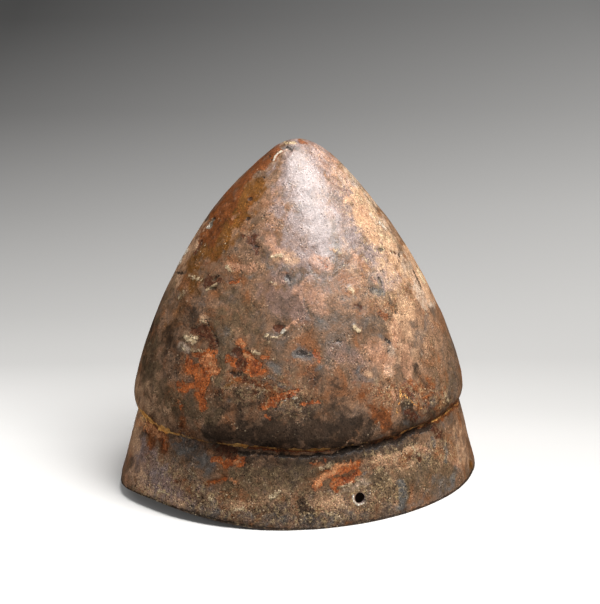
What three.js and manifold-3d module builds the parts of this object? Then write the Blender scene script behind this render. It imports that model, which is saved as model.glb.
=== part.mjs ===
// A conical helmet raised from one sheet of bronze: a pointed dome, a rounded lip that turns under
// into a groove, and below it a flaring rim with a hole on each side for a chin strap.
// Millimetres, +Z up. The brow faces -Y, the long axis of the oval plan lies along Y, and the origin
// is the centre of the rim's footprint. Azimuths are degrees from the brow, turning towards +X.
import * as THREE from 'three';
import { mergeVertices } from 'three/addons/utils/BufferGeometryUtils.js';
import Module from 'manifold-3d';

const wasm = await Module();
wasm.setup();

// Main sizes
const HEIGHT = 215;
const RIM_HALF_LENGTH = 114;
const WIDTH_TO_LENGTH = 0.88;
const WALL = 1.4;

// Profile of the outer face along the long axis: radius from the centre line, and height
const FLARE_CONTROL = { radius: 108.4, height: 21 };
const NECK = { radius: 102.2, height: 46.5 };
const GROOVE_HEIGHT = 1.6;
const LIP_UNDERSIDE = { radius: NECK.radius + 1.6, height: NECK.height + GROOVE_HEIGHT + 1 };
const LIP_CONTROL_HEIGHT = LIP_UNDERSIDE.height + 2;
const LIP = { radius: 105.1, height: 56 };

// The dome's radius is LIP.radius * (1 - u^DOME_RISE)^(1 / DOME_SWELL), with u from 0 at the lip to 1
// at the tip, and the tip is blunted to a round end that fades into the flank
const DOME_RISE = 1.31;
const DOME_SWELL = 1.515;
const TIP = { radius: 12, fade: 7, crowding: 1.9 };

// Strap holes, one on each side
const STRAP_HOLE = { diameter: 6.5, height: 15.3, sides: 20 };

// The brow edge arches up over the forehead
const BROW_ARCH = { rise: 6.5, halfAngle: 52 };

// Marks of hand raising: the centre line sways, the groove line dips, and blows left shallow dents
const CENTRE_LINE = [
  { height: 0, sway: 0 },
  { height: 55, sway: 0.5 },
  { height: 120, sway: -0.3 },
  { height: 165, sway: -0.6 },
  { height: HEIGHT, sway: 0.4 },
];
const GROOVE_LINE = [
  { azimuth: 0, rise: 1.6 },
  { azimuth: 45, rise: 1.1 },
  { azimuth: 85, rise: -1.6 },
  { azimuth: 125, rise: 0.5 },
  { azimuth: 180, rise: -1 },
  { azimuth: 270, rise: 0.3 },
  { azimuth: 360, rise: 1.6 },
];
const DENTS = [
  { azimuth: -22, height: 200, spread: 13, depth: 2.4 },
  { azimuth: 150, height: 176, spread: 24, depth: 1.5 },
  { azimuth: 205, height: 112, spread: 34, depth: 2.2 },
  { azimuth: 300, height: 118, spread: 30, depth: 1.6 },
];

// Facets
const SEGMENTS = 60;
const STATIONS = { rim: 7, groove: 2, lip: 4, dome: 15 };

const BRONZE = new THREE.MeshStandardMaterial({ color: 0x6b5242, roughness: 0.45, metalness: 0.8 });

const vector = ({ radius, height }) => new THREE.Vector2(radius, height);

// Value of a table's column at a place, eased smoothly from row to row
function alongTable(rows, key, column, place) {
  const next = rows.findIndex((row) => row[key] >= place);
  if (next <= 0) return rows[next < 0 ? rows.length - 1 : 0][column];
  const low = rows[next - 1];
  const high = rows[next];
  const share = THREE.MathUtils.smoothstep(place, low[key], high[key]);
  return THREE.MathUtils.lerp(low[column], high[column], share);
}

// Radius of the dome at a share u of the way from the lip to the tip
function domeRadius(u) {
  const flank = LIP.radius * Math.max(0, 1 - u ** DOME_RISE) ** (1 / DOME_SWELL);
  const belowTip = (1 - u) * (HEIGHT - LIP.height);
  return Math.hypot(flank, Math.sqrt(2 * TIP.radius * belowTip * Math.exp(-belowTip / TIP.fade)));
}

// Outer face from the rim's edge up to the tip
function outerProfile() {
  const edge = new THREE.Vector2(RIM_HALF_LENGTH, 0);
  const neck = vector(NECK);
  const underside = vector(LIP_UNDERSIDE);
  const lip = vector(LIP);
  const grooveCorner = new THREE.Vector2(NECK.radius, NECK.height + GROOVE_HEIGHT);
  const lipCorner = new THREE.Vector2(LIP.radius, LIP_CONTROL_HEIGHT);
  const rim = new THREE.QuadraticBezierCurve(edge, vector(FLARE_CONTROL), neck);
  const groove = new THREE.QuadraticBezierCurve(neck, grooveCorner, underside);
  const roundedLip = new THREE.QuadraticBezierCurve(underside, lipCorner, lip);
  const points = rim.getPoints(STATIONS.rim);
  points.push(...groove.getPoints(STATIONS.groove).slice(1));
  points.push(...roundedLip.getPoints(STATIONS.lip).slice(1));
  for (let station = 1; station <= STATIONS.dome; station += 1) {
    const u = 1 - (1 - station / STATIONS.dome) ** TIP.crowding;
    points.push(new THREE.Vector2(domeRadius(u), THREE.MathUtils.lerp(LIP.height, HEIGHT, u)));
  }
  return points;
}

// Inner face: the outer one moved in by the wall, square to itself
function innerProfile(outer) {
  const last = outer.length - 1;
  return outer.map((point, index) => {
    if (index === 0) return new THREE.Vector2(point.x - WALL, point.y);
    if (index === last) return new THREE.Vector2(0, point.y - WALL);
    const along = outer[index + 1].clone().sub(outer[index - 1]).normalize();
    return new THREE.Vector2(Math.max(0, point.x - along.y * WALL), point.y + along.x * WALL);
  });
}

// Share of the brow arch at an azimuth: 1 at the brow, 0 where the rim meets the ground
function browShare(azimuth) {
  const turn = Math.min(Math.abs(azimuth), 360 - Math.abs(azimuth)) / BROW_ARCH.halfAngle;
  return turn < 1 ? Math.cos((turn * Math.PI) / 2) ** 2 : 0;
}

// Depth of all dents at a place on the dome
function dentDepth(azimuth, height, radius) {
  let depth = 0;
  for (const dent of DENTS) {
    const turn = THREE.MathUtils.euclideanModulo(azimuth - dent.azimuth + 180, 360) - 180;
    const sideways = THREE.MathUtils.degToRad(turn) * radius;
    const distance = Math.hypot(sideways, height - dent.height) / dent.spread;
    depth += dent.depth * Math.exp(-distance * distance);
  }
  return depth;
}

// A round point of the turned shell, moved to its place on the oval, hand-raised helmet
function handRaised(point) {
  const radius = Math.hypot(point.x, point.y);
  const turn = THREE.MathUtils.radToDeg(Math.atan2(point.x, -point.y));
  const azimuth = THREE.MathUtils.euclideanModulo(turn, 360);
  const height = point.z;
  const inward = radius > 0 ? dentDepth(azimuth, height, radius) / radius : 0;
  const belowGroove = height / NECK.height;
  const aboveGroove = (HEIGHT - height) / (HEIGHT - NECK.height);
  const grooveShare = THREE.MathUtils.clamp(Math.min(belowGroove, aboveGroove), 0, 1);
  const rimShare = THREE.MathUtils.clamp(1 - belowGroove, 0, 1);
  point.x *= WIDTH_TO_LENGTH * (1 - inward);
  point.y = point.y * (1 - inward) + alongTable(CENTRE_LINE, 'height', 'sway', height);
  point.z += alongTable(GROOVE_LINE, 'azimuth', 'rise', azimuth) * grooveShare;
  point.z += BROW_ARCH.rise * browShare(azimuth) * rimShare;
  return point;
}

// The whole wall as one turned, closed skin: down the inner face, across the edge, up the outer face
function raisedShell() {
  const outer = outerProfile();
  const skin = [...innerProfile(outer).reverse(), ...outer];
  const shell = new THREE.LatheGeometry(skin, SEGMENTS).rotateX(Math.PI / 2);
  const positions = shell.getAttribute('position');
  const point = new THREE.Vector3();
  for (let index = 0; index < positions.count; index += 1) {
    handRaised(point.fromBufferAttribute(positions, index));
    positions.setXYZ(index, point.x, point.y, point.z);
  }
  return shell;
}

// A bar that runs right across the helmet and drills both strap holes
function strapHoleDrill() {
  const radius = STRAP_HOLE.diameter / 2;
  const length = 3 * RIM_HALF_LENGTH;
  const drill = new THREE.CylinderGeometry(radius, radius, length, STRAP_HOLE.sides);
  return drill.rotateZ(Math.PI / 2).translate(0, 0, STRAP_HOLE.height);
}

// A closed geometry as a solid, without the empty triangles that a turned profile leaves on the axis
function solid(geometry) {
  const bare = new THREE.BufferGeometry();
  bare.setAttribute('position', geometry.getAttribute('position').clone());
  bare.setIndex(geometry.getIndex().clone());
  const merged = mergeVertices(bare, 1e-3);
  const index = merged.getIndex().array;
  const triangles = [];
  for (let corner = 0; corner < index.length; corner += 3) {
    const [a, b, c] = index.slice(corner, corner + 3);
    if (a !== b && b !== c && c !== a) triangles.push(a, b, c);
  }
  const vertProperties = new Float32Array(merged.getAttribute('position').array);
  const triVerts = new Uint32Array(triangles);
  return new wasm.Manifold(new wasm.Mesh({ numProp: 3, vertProperties, triVerts }));
}

// A solid back as a geometry
function geometryOf(body) {
  const { vertProperties, triVerts } = body.getMesh();
  const geometry = new THREE.BufferGeometry();
  geometry.setAttribute('position', new THREE.BufferAttribute(new Float32Array(vertProperties), 3));
  geometry.setIndex(new THREE.BufferAttribute(new Uint32Array(triVerts), 1));
  geometry.computeVertexNormals();
  return geometry;
}

const drilledShell = solid(raisedShell()).subtract(solid(strapHoleDrill()));
const helmetShell = new THREE.Mesh(geometryOf(drilledShell), BRONZE);
helmetShell.name = 'helmet_shell';

const helmet = new THREE.Group();
helmet.add(helmetShell);

export default helmet;
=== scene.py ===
# %% [markdown]
# # A conical bronze helmet
#
# The real helmet was raised from one sheet of bronze: hammered up over a stake into a pointed dome, with
# a rounded lip, a groove and a flaring rim below it. A long time in the ground then gave it a mottled
# brown patina with copper-red, ochre, grey and cream patches. This lesson raises the same sheet ring by
# ring, gives it its wall and strap holes, charts the patina, and lights it as in a plain studio.
#
# The first cell loads the measured frame. Its sizes drive all that follows.

# %% The frame
import math

import bpy
import numpy as np
from mathutils import Matrix, Vector, noise


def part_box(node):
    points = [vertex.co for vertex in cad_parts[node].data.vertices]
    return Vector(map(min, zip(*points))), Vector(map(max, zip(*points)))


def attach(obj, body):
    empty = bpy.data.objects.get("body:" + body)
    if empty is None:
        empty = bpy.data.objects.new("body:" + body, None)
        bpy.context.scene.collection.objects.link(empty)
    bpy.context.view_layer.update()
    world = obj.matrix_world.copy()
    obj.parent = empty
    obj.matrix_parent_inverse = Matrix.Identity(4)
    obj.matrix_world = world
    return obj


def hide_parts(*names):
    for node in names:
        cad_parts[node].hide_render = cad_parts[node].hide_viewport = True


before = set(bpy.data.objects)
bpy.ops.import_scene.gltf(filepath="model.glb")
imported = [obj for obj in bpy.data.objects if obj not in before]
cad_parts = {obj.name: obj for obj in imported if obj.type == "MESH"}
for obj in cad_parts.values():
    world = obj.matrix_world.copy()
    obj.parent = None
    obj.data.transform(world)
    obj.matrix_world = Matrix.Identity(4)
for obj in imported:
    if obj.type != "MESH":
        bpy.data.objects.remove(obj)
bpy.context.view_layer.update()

MM = 0.001
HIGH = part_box("helmet_shell")[1]
HALF_LENGTH = HIGH.y
WIDTH_TO_LENGTH = HIGH.x / HIGH.y
HEIGHT = HIGH.z
print("frame: half length %.1f mm, height %.1f mm" % (HALF_LENGTH / MM, HEIGHT / MM))

# %% [markdown]
# ## The camera comes first
#
# The stains are charted in pixels of the picture, so the camera has to stand before anything is painted.
# It is a long lens about 1.6 m away, a little above the helmet and turned towards its side, with the brow
# at the left. `picture_pixels` does by hand what the camera does, so that the chart finds its place on
# the metal.

# %% Camera
PICTURE_WIDTH, PICTURE_HEIGHT = 600, 604
CAMERA_AZIMUTH, CAMERA_ELEVATION, CAMERA_ROLL = 68.0, 18.4, 0.667
CAMERA_DISTANCE = 1600 * MM
PIXELS_PER_METRE_AT_TARGET = 1604
TARGET_HEIGHT, TARGET_SIDE = 110.3 * MM, 1.5 * MM
SENSOR_WIDTH_MM = 36.0

turn, rise = math.radians(CAMERA_AZIMUTH), math.radians(CAMERA_ELEVATION)
CAMERA_RIGHT = Vector((math.cos(turn), math.sin(turn), 0))
CAMERA_BACK = Vector((math.sin(turn) * math.cos(rise), -math.cos(turn) * math.cos(rise), math.sin(rise)))
CAMERA_UP = CAMERA_BACK.cross(CAMERA_RIGHT)
CAMERA_PLACE = CAMERA_RIGHT * TARGET_SIDE + Vector((0, 0, TARGET_HEIGHT)) + CAMERA_BACK * CAMERA_DISTANCE
FOCAL_PIXELS = PIXELS_PER_METRE_AT_TARGET * CAMERA_DISTANCE

bpy.ops.object.select_all(action="DESELECT")
bpy.ops.object.camera_add()
camera = bpy.context.object
camera.name = "studio_camera"
axes = Matrix((CAMERA_RIGHT, CAMERA_UP, CAMERA_BACK)).transposed()
rolled = axes @ Matrix.Rotation(-math.radians(CAMERA_ROLL), 3, "Z")
camera.matrix_world = Matrix.LocRotScale(CAMERA_PLACE, rolled, None)
camera.data.sensor_width = SENSOR_WIDTH_MM
camera.data.lens = FOCAL_PIXELS * SENSOR_WIDTH_MM / max(PICTURE_WIDTH, PICTURE_HEIGHT)
bpy.context.scene.camera = camera
print("camera: lens %.0f mm" % camera.data.lens)


def picture_pixels(points):
    """Column and row in the picture of each point in space."""
    seen = points - np.array(CAMERA_PLACE)
    depth = -(seen @ np.array(CAMERA_BACK))
    across = FOCAL_PIXELS * (seen @ np.array(CAMERA_RIGHT)) / depth
    down = -FOCAL_PIXELS * (seen @ np.array(CAMERA_UP)) / depth
    c, s = math.cos(math.radians(CAMERA_ROLL)), math.sin(math.radians(CAMERA_ROLL))
    column = PICTURE_WIDTH / 2 + c * across + s * down
    row = PICTURE_HEIGHT / 2 - s * across + c * down
    return np.stack([column, row], axis=1)


# %% [markdown]
# ## The profile of the sheet
#
# A smith raises a cone in courses: each ring of hammer blows draws the sheet in a little. The profile
# below is that plan, from the rim's edge up to the tip. The rim and the lip are simple curves through a
# control point, and the dome is a formula whose two powers set how early it turns in and how full its
# flank is.

# %% Profile
NECK = (102.2 * MM, 46.5 * MM)
FLARE_CONTROL = (108.4 * MM, 21 * MM)
GROOVE_HEIGHT = 1.6 * MM
UNDERSIDE = (NECK[0] + 1.6 * MM, NECK[1] + GROOVE_HEIGHT + 1 * MM)
LIP = (105.1 * MM, 56 * MM)
LIP_CONTROL = (LIP[0], UNDERSIDE[1] + 2 * MM)
DOME_RISE, DOME_SWELL = 1.31, 1.515
TIP_RADIUS, TIP_FADE = 12 * MM, 7 * MM
RIM_STEPS, GROOVE_STEPS, LIP_STEPS, DOME_STEPS = 8, 3, 4, 34
DOME_SAMPLES = 4000  # fine steps along the dome that space its rings evenly


def bent(start, control, end, steps):
    """Points after the start of a curve that heads for a control point and ends at the end."""
    shares = np.linspace(0, 1, steps + 1)[1:, None]
    start, control, end = np.array(start), np.array(control), np.array(end)
    return (1 - shares) ** 2 * start + 2 * shares * (1 - shares) * control + shares ** 2 * end


def dome_radius(u):
    """Radius of the dome at a share u of the way from the lip to the tip."""
    flank = LIP[0] * np.maximum(0, 1 - u ** DOME_RISE) ** (1 / DOME_SWELL)
    below_tip = (1 - u) * (HEIGHT - LIP[1])
    return np.sqrt(flank ** 2 + 2 * TIP_RADIUS * below_tip * np.exp(-below_tip / TIP_FADE))


fine_u = np.linspace(0, 1, DOME_SAMPLES)
walked = np.cumsum(np.hypot(np.gradient(dome_radius(fine_u)), np.gradient(fine_u) * (HEIGHT - LIP[1])))
u = np.interp(np.arange(1, DOME_STEPS) / DOME_STEPS, walked / walked[-1], fine_u)
profile = np.concatenate([
    [(HALF_LENGTH, 0)],
    bent((HALF_LENGTH, 0), FLARE_CONTROL, NECK, RIM_STEPS),
    bent(NECK, (NECK[0], NECK[1] + GROOVE_HEIGHT), UNDERSIDE, GROOVE_STEPS),
    bent(UNDERSIDE, LIP_CONTROL, LIP, LIP_STEPS),
    np.stack([dome_radius(u), LIP[1] + u * (HEIGHT - LIP[1])], axis=1),
])
print("profile: %d rings, the last %.1f mm wide" % (len(profile), 2 * profile[-1, 0] / MM))

# %% [markdown]
# ## Raising the sheet
#
# A flat circle of vertices is the rim's edge. Each course is an extrude straight up and a resize of the
# new ring, which is just how the smith closes the cone in. The hole at the tip is closed with a grid of
# quads instead of one point where all edges meet, because a grid stays smooth when it is subdivided.

# %% Raise the rings
RING_VERTS = 96

bpy.ops.object.select_all(action="DESELECT")
bpy.ops.mesh.primitive_circle_add(vertices=RING_VERTS, radius=profile[0, 0])
sheet = bpy.context.object
sheet.name = "raised_shell"
bpy.ops.object.mode_set(mode="EDIT")
bpy.ops.mesh.select_all(action="SELECT")
for below, above in zip(profile, profile[1:]):
    bpy.ops.mesh.extrude_edges_move(TRANSFORM_OT_translate={"value": (0, 0, above[1] - below[1])})
    bpy.ops.transform.resize(value=(above[0] / below[0], above[0] / below[0], 1))
bpy.ops.mesh.fill_grid(span=RING_VERTS // 4)
bpy.ops.mesh.select_all(action="SELECT")
bpy.ops.mesh.normals_make_consistent(inside=False)
bpy.ops.object.mode_set(mode="OBJECT")
print("sheet: %d vertices" % len(sheet.data.vertices))

# %% [markdown]
# ## The oval and the marks of the hand
#
# So far the sheet is a perfect turned shape, which no hammered helmet is. Here its plan becomes an oval
# for the head, the brow edge arches up, the groove line dips and rises, the centre line sways, and a few
# old blows leave shallow dents. The dents, the groove and the sway are those of the solid in the frame.
# The brow's edge is set closer to the picture: its arch stands a little round to one side, and its middle
# has a small peak.

# %% Hand-raised form
CENTRE_LINE_HEIGHTS = np.array([0, 55, 120, 165, HEIGHT / MM]) * MM
CENTRE_LINE_SWAY = np.array([0, 0.5, -0.3, -0.6, 0.4]) * MM
GROOVE_LINE_AZIMUTHS = np.array([0, 45, 85, 125, 180, 270, 360])
GROOVE_LINE_RISE = np.array([1.6, 1.1, -1.6, 0.5, -1, 0.3, 1.6]) * MM
BROW_RISE, BROW_AZIMUTH, BROW_HALF_ANGLE = 6.5 * MM, 15, 56
BROW_PEAK, PEAK_HALF_ANGLE = 4 * MM, 12
CAMERA_SIDE_CROWDING = 0.3  # the vertices stand closer on the side with the charted patina
CAP_SAMPLES, CAP_SHARE = 60, 0.999  # steps of the tip's profile, share of the last ring that is the cap
DENTS = [  # azimuth in degrees, height, spread and depth in mm
    (-22, 200, 13, 2.4),
    (150, 176, 24, 1.5),
    (205, 112, 34, 2.2),
    (300, 118, 30, 1.6),
]


def eased(place, places, values):
    """Value at a place in a table, eased smoothly from row to row."""
    row = np.clip(np.searchsorted(places, place, side="right"), 1, len(places) - 1)
    share = np.clip((place - places[row - 1]) / (places[row] - places[row - 1]), 0, 1)
    share = share * share * (3 - 2 * share)
    return values[row - 1] + share * (values[row] - values[row - 1])


def vertex_places(obj):
    """The vertices of a mesh as rows of x, y, z."""
    places = np.empty(3 * len(obj.data.vertices))
    obj.data.vertices.foreach_get("co", places)
    return places.reshape(-1, 3)


def move_vertices(obj, places):
    """Puts each vertex of a mesh at its new place."""
    obj.data.vertices.foreach_set("co", places.ravel())
    obj.data.update()


def rim_edge_height(places):
    """Height of the rim's edge below each place: it arches up over the brow."""
    azimuth = np.degrees(np.arctan2(places[:, 0], -places[:, 1]))
    turn_from_brow = np.abs((azimuth - BROW_AZIMUTH + 180) % 360 - 180) / BROW_HALF_ANGLE
    return BROW_RISE * np.where(turn_from_brow < 1, np.cos(turn_from_brow * math.pi / 2) ** 2, 0)


def hand_raised(places):
    """Points of the round sheet, moved to their places on the oval helmet."""
    x, y, z = places.T
    radius = np.hypot(x, y)
    azimuth = np.degrees(np.arctan2(x, -y)) % 360
    inward = np.zeros(len(places))
    for dent_azimuth, dent_height, spread, depth in DENTS:
        sideways = np.radians((azimuth - dent_azimuth + 180) % 360 - 180) * radius
        inward += depth * MM * np.exp(-(sideways ** 2 + (z - dent_height * MM) ** 2) / (spread * MM) ** 2)
    shrink = 1 - inward / np.maximum(radius, 1 * MM)
    groove_share = np.clip(np.minimum(z / NECK[1], (HEIGHT - z) / (HEIGHT - NECK[1])), 0, 1)
    rim_share = np.clip(1 - z / NECK[1], 0, 1)
    lifted = z + eased(azimuth, GROOVE_LINE_AZIMUTHS, GROOVE_LINE_RISE) * groove_share
    lifted += rim_edge_height(places) * rim_share
    peak_turn = ((azimuth + 180) % 360 - 180) / PEAK_HALF_ANGLE
    shrink += BROW_PEAK / HALF_LENGTH * np.exp(-peak_turn ** 2) * rim_share
    swayed = y * shrink + eased(z, CENTRE_LINE_HEIGHTS, CENTRE_LINE_SWAY)
    return np.stack([x * shrink * WIDTH_TO_LENGTH, swayed, lifted], axis=1)


places = vertex_places(sheet)
radius = np.hypot(places[:, 0], places[:, 1])
azimuth = np.arctan2(places[:, 0], -places[:, 1])
azimuth -= CAMERA_SIDE_CROWDING * np.sin(azimuth - turn)
places[:, 0], places[:, 1] = radius * np.sin(azimuth), -radius * np.cos(azimuth)
tip_u = np.linspace(1, u[-1], CAP_SAMPLES)
in_cap = radius < profile[-1, 0] * CAP_SHARE
cap_heights = LIP[1] + tip_u * (HEIGHT - LIP[1])
places[in_cap, 2] = np.interp(radius[in_cap], dome_radius(tip_u), cap_heights)
move_vertices(sheet, hand_raised(places))
print("hand-raised: top at %.1f mm" % (vertex_places(sheet)[:, 2].max() / MM))

# %% [markdown]
# ## Wall, edge and strap holes
#
# A Solidify modifier would make the inner face as dense as the outer one, which hardly anyone sees. So
# the sheet is copied, the copy is fattened inwards by the wall, and only the outer face is subdivided. A
# cloud texture then leaves faint hammer marks on it. The two open edges are bridged, which makes the
# rim's edge, and the strap holes are drilled last, with a Boolean.

# %% Wall and holes
WALL = 1.4 * MM
HAMMER_MARK, HAMMER_DEPTH = 16 * MM, 0.8 * MM
OUTER_LEVELS = 2
STRAP_HOLE_RADIUS, STRAP_HOLE_HEIGHT, STRAP_HOLE_SIDES = 3.25 * MM, 15.3 * MM, 40
CREASE_ANGLE = 40


def apply_modifier(obj, kind, **settings):
    """Adds a modifier with its settings to a mesh and applies it."""
    bpy.ops.object.select_all(action="DESELECT")
    obj.select_set(True)
    bpy.context.view_layer.objects.active = obj
    modifier = obj.modifiers.new(kind.lower(), kind)
    for name, value in settings.items():
        setattr(modifier, name, value)
    bpy.ops.object.modifier_apply(modifier=modifier.name)


bpy.ops.object.select_all(action="DESELECT")
sheet.select_set(True)
bpy.context.view_layer.objects.active = sheet
bpy.ops.object.duplicate()
lining = bpy.context.object
bpy.ops.object.mode_set(mode="EDIT")
bpy.ops.mesh.select_all(action="SELECT")
bpy.ops.transform.shrink_fatten(value=-WALL)
bpy.ops.mesh.flip_normals()
bpy.ops.object.mode_set(mode="OBJECT")
inner_places = vertex_places(lining)
edge_ring = np.arange(RING_VERTS)
inner_places[edge_ring, 2] = vertex_places(sheet)[edge_ring, 2]
move_vertices(lining, inner_places)
apply_modifier(sheet, "SUBSURF", levels=OUTER_LEVELS, render_levels=OUTER_LEVELS)
hammering = bpy.data.textures.new("hammering", "CLOUDS")
hammering.noise_scale = HAMMER_MARK
apply_modifier(sheet, "DISPLACE", texture=hammering, texture_coords="LOCAL", strength=HAMMER_DEPTH)
for obj, value in ((sheet, 1.0), (lining, 0.0)):
    outside = obj.data.attributes.new("outside", "FLOAT", "POINT")
    outside.data.foreach_set("value", np.full(len(obj.data.vertices), value))

bpy.ops.object.select_all(action="DESELECT")
lining.select_set(True)
sheet.select_set(True)
bpy.context.view_layer.objects.active = sheet
bpy.ops.object.join()
shell = sheet
bpy.ops.object.mode_set(mode="EDIT")
bpy.ops.mesh.select_all(action="DESELECT")
bpy.ops.mesh.select_mode(type="EDGE")
bpy.ops.mesh.select_non_manifold(extend=False, use_wire=False, use_boundary=True, use_multi_face=False,
                                 use_non_contiguous=False, use_verts=False)
bpy.ops.mesh.bridge_edge_loops()
bpy.ops.mesh.select_all(action="SELECT")
bpy.ops.mesh.normals_make_consistent(inside=False)
bpy.ops.object.mode_set(mode="OBJECT")

bpy.ops.object.select_all(action="DESELECT")
bpy.ops.mesh.primitive_cylinder_add(vertices=STRAP_HOLE_SIDES, radius=STRAP_HOLE_RADIUS,
                                    depth=3 * HALF_LENGTH, location=(0, 0, STRAP_HOLE_HEIGHT),
                                    rotation=(0, math.pi / 2, 0))
drill = bpy.context.object
apply_modifier(shell, "BOOLEAN", object=drill, operation="DIFFERENCE", solver="EXACT")
bpy.data.objects.remove(drill)
bpy.ops.object.shade_smooth_by_angle(angle=math.radians(CREASE_ANGLE))
print("shell: %d faces" % len(shell.data.polygons))
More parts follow.
